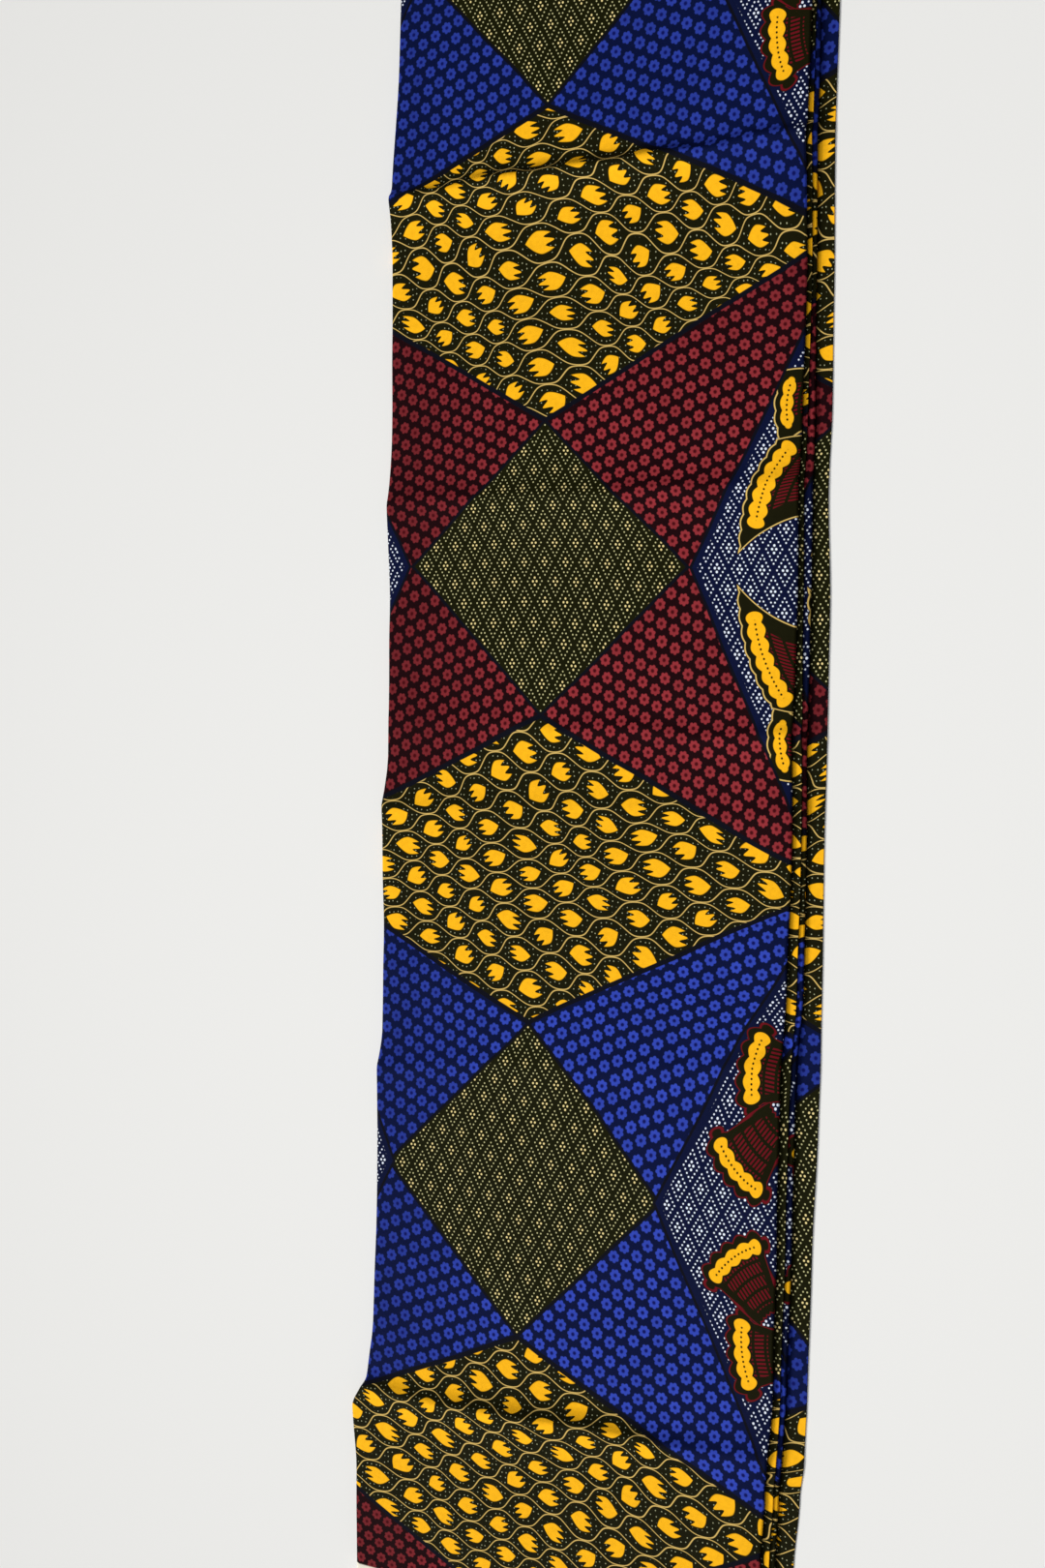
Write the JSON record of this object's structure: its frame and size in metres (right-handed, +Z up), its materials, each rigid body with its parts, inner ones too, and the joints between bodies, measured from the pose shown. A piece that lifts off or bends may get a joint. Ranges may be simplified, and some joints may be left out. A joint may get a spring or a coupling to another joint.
{
  "type": "folded ankara fabric length",
  "caption": "Length of wax-print cotton folded back and forth into a long flat strip, one side a closed fold and the other stepped folds and cut edges.",
  "frame": {"origin": "on the surface it lies on, under the middle of the strip's box", "axes": "+X across the strip towards its stepped edges, +Y along the strip towards its far end, +Z up"},
  "size_m": [0.2902, 1.1714, 0.0145],
  "materials": {
    "printed_cotton": "matte cotton with a faint waxy sheen, printed on both faces"
  },
  "bodies": {
    "root": {"folded_cloth": "printed_cotton"}
  },
  "joints": []
}
